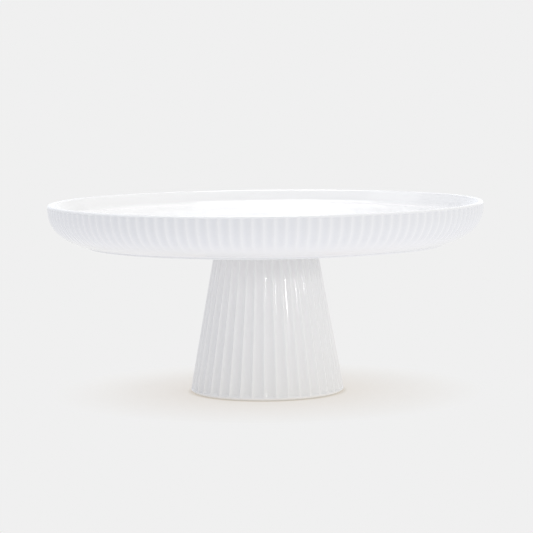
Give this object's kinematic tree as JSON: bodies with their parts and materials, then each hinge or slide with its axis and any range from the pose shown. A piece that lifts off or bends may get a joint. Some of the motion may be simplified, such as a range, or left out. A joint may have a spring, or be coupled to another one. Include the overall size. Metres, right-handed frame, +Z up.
{
  "type": "cake stand",
  "caption": "Round white glazed cake stand: a shallow dish plate with a fluted outer wall, screwed to a hollow fluted cone pedestal.",
  "frame": {"origin": "centre of the base, on the surface that the stand rests on", "axes": "+Z up along the axis of the plate and the cone; +X to the right and -Y towards the viewer"},
  "size_m": [0.301, 0.301, 0.1318],
  "materials": {
    "white_glaze": "gloss white glaze over white stoneware",
    "clear_silicone": "matt, slightly milky silicone",
    "brass": "turned",
    "black_rubber": "matt",
    "steel": "zinc plated",
    "grey_nylon": "fine moulded texture"
  },
  "bodies": {
    "pedestal": {"pedestal": "white_glaze", "seating_gasket": "clear_silicone", "base_ring": "clear_silicone"},
    "plate": {"plate": "white_glaze", "threaded_insert": "brass"},
    "washers": {"rubber_washer": "black_rubber", "steel_washer": "steel"},
    "screw": {"clamp_screw": "steel", "screw_knob": "grey_nylon"}
  },
  "joints": [
    {"name": "plate_lift", "type": "slide", "parent": "pedestal", "child": "plate", "axis": [0, 0, 1], "range_m": [0, 0.06]},
    {"name": "screw_travel", "type": "slide", "parent": "pedestal", "child": "washers", "axis": [0, 0, -1], "range_m": [0, 0.0075]},
    {"name": "screw_turn", "type": "hinge", "parent": "washers", "child": "screw", "pos_m": [0, 0, 0.105], "axis": [0, 0, -1], "range_deg": [0, 2200]}
  ],
  "couplings": [
    {"joint": "screw_turn", "follows": "screw_travel", "rad_per_m": 5026.5}
  ]
}
